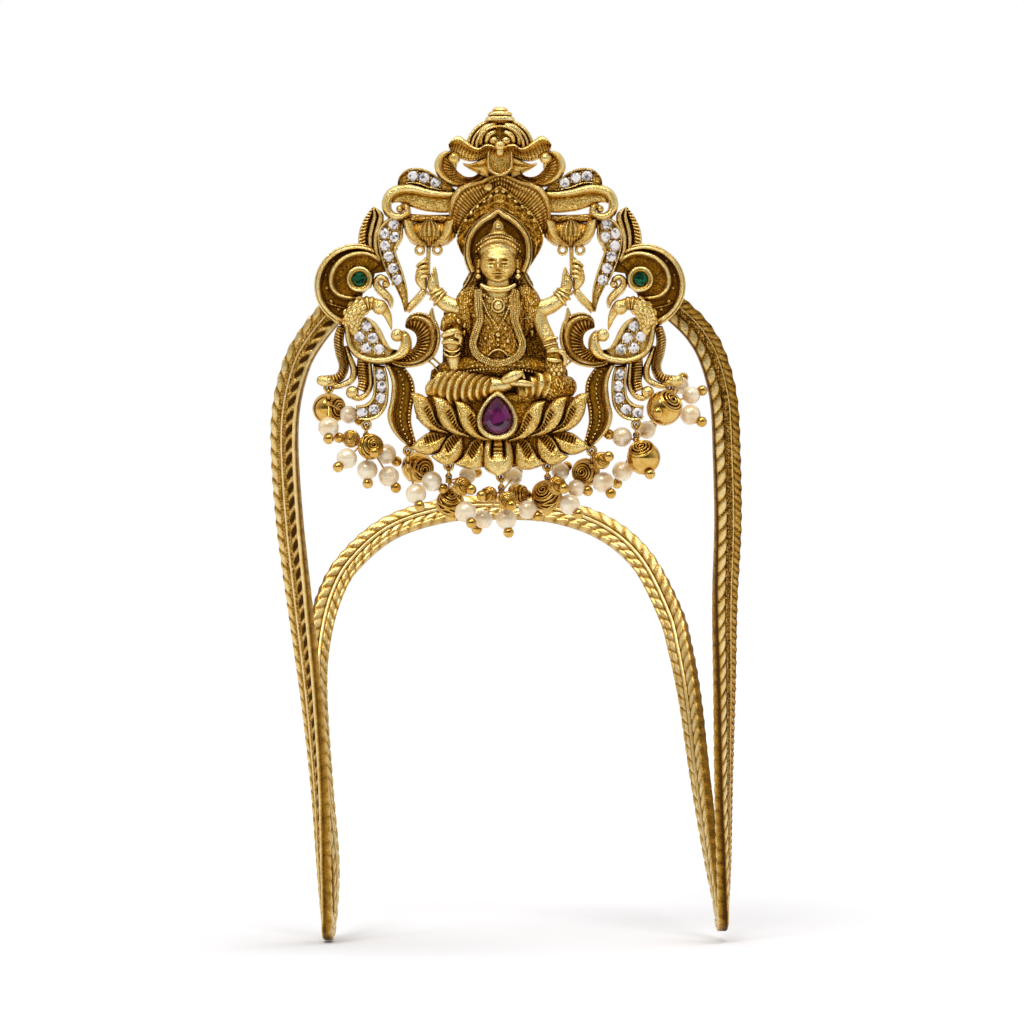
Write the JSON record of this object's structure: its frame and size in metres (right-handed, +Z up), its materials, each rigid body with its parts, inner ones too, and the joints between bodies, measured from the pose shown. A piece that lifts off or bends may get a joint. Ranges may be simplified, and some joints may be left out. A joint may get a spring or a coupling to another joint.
{
  "type": "armlet",
  "caption": "Openwork temple-style armlet: a cast deity plaque with stones on a leaf-veined strip band, with pearl and gold bead drops.",
  "frame": {"origin": "on the axis of the arm, level with the top of the rear arch", "axes": "+X across the arm to the wearer's left, -Y out of the front of the plaque, +Z up the arm"},
  "size_m": [0.0764, 0.0757, 0.1371],
  "materials": {
    "band_gold": "satin antique gold",
    "antique_gold": "oxidised antique gold",
    "drop_gold": "polished gold",
    "pearl": "pearl lustre",
    "white_stone": "faceted clear",
    "green_stone": "faceted green",
    "purple_stone": "faceted purple"
  },
  "bodies": {
    "root": {"band": "band_gold", "band_rivet_left": "band_gold", "band_rivet_right": "band_gold", "plaque": "antique_gold", "pear_stone": "purple_stone", "green_stone_left": "green_stone", "green_stone_right": "green_stone", "white_stones_left": "white_stone", "white_stones_right": "white_stone", "drop_1_ring": "drop_gold", "drop_1_balls": "drop_gold", "drop_1_pearls": "pearl", "drop_1_pins": "drop_gold", "drop_2_ring": "drop_gold", "drop_2_balls": "drop_gold", "drop_2_pearls": "pearl", "drop_2_pins": "drop_gold", "drop_3_ring": "drop_gold", "drop_3_balls": "drop_gold", "drop_3_pearls": "pearl", "drop_3_pins": "drop_gold", "drop_4_ring": "drop_gold", "drop_4_balls": "drop_gold", "drop_4_pearls": "pearl", "drop_4_pins": "drop_gold", "drop_5_ring": "drop_gold", "drop_5_balls": "drop_gold", "drop_5_pearls": "pearl", "drop_5_pins": "drop_gold", "drop_6_ring": "drop_gold", "drop_6_balls": "drop_gold", "drop_6_pearls": "pearl", "drop_6_pins": "drop_gold", "drop_7_ring": "drop_gold", "drop_7_balls": "drop_gold", "drop_7_pearls": "pearl", "drop_7_pins": "drop_gold", "drop_8_ring": "drop_gold", "drop_8_balls": "drop_gold", "drop_8_pearls": "pearl", "drop_8_pins": "drop_gold", "drop_9_ring": "drop_gold", "drop_9_balls": "drop_gold", "drop_9_pearls": "pearl", "drop_9_pins": "drop_gold"}
  },
  "joints": []
}
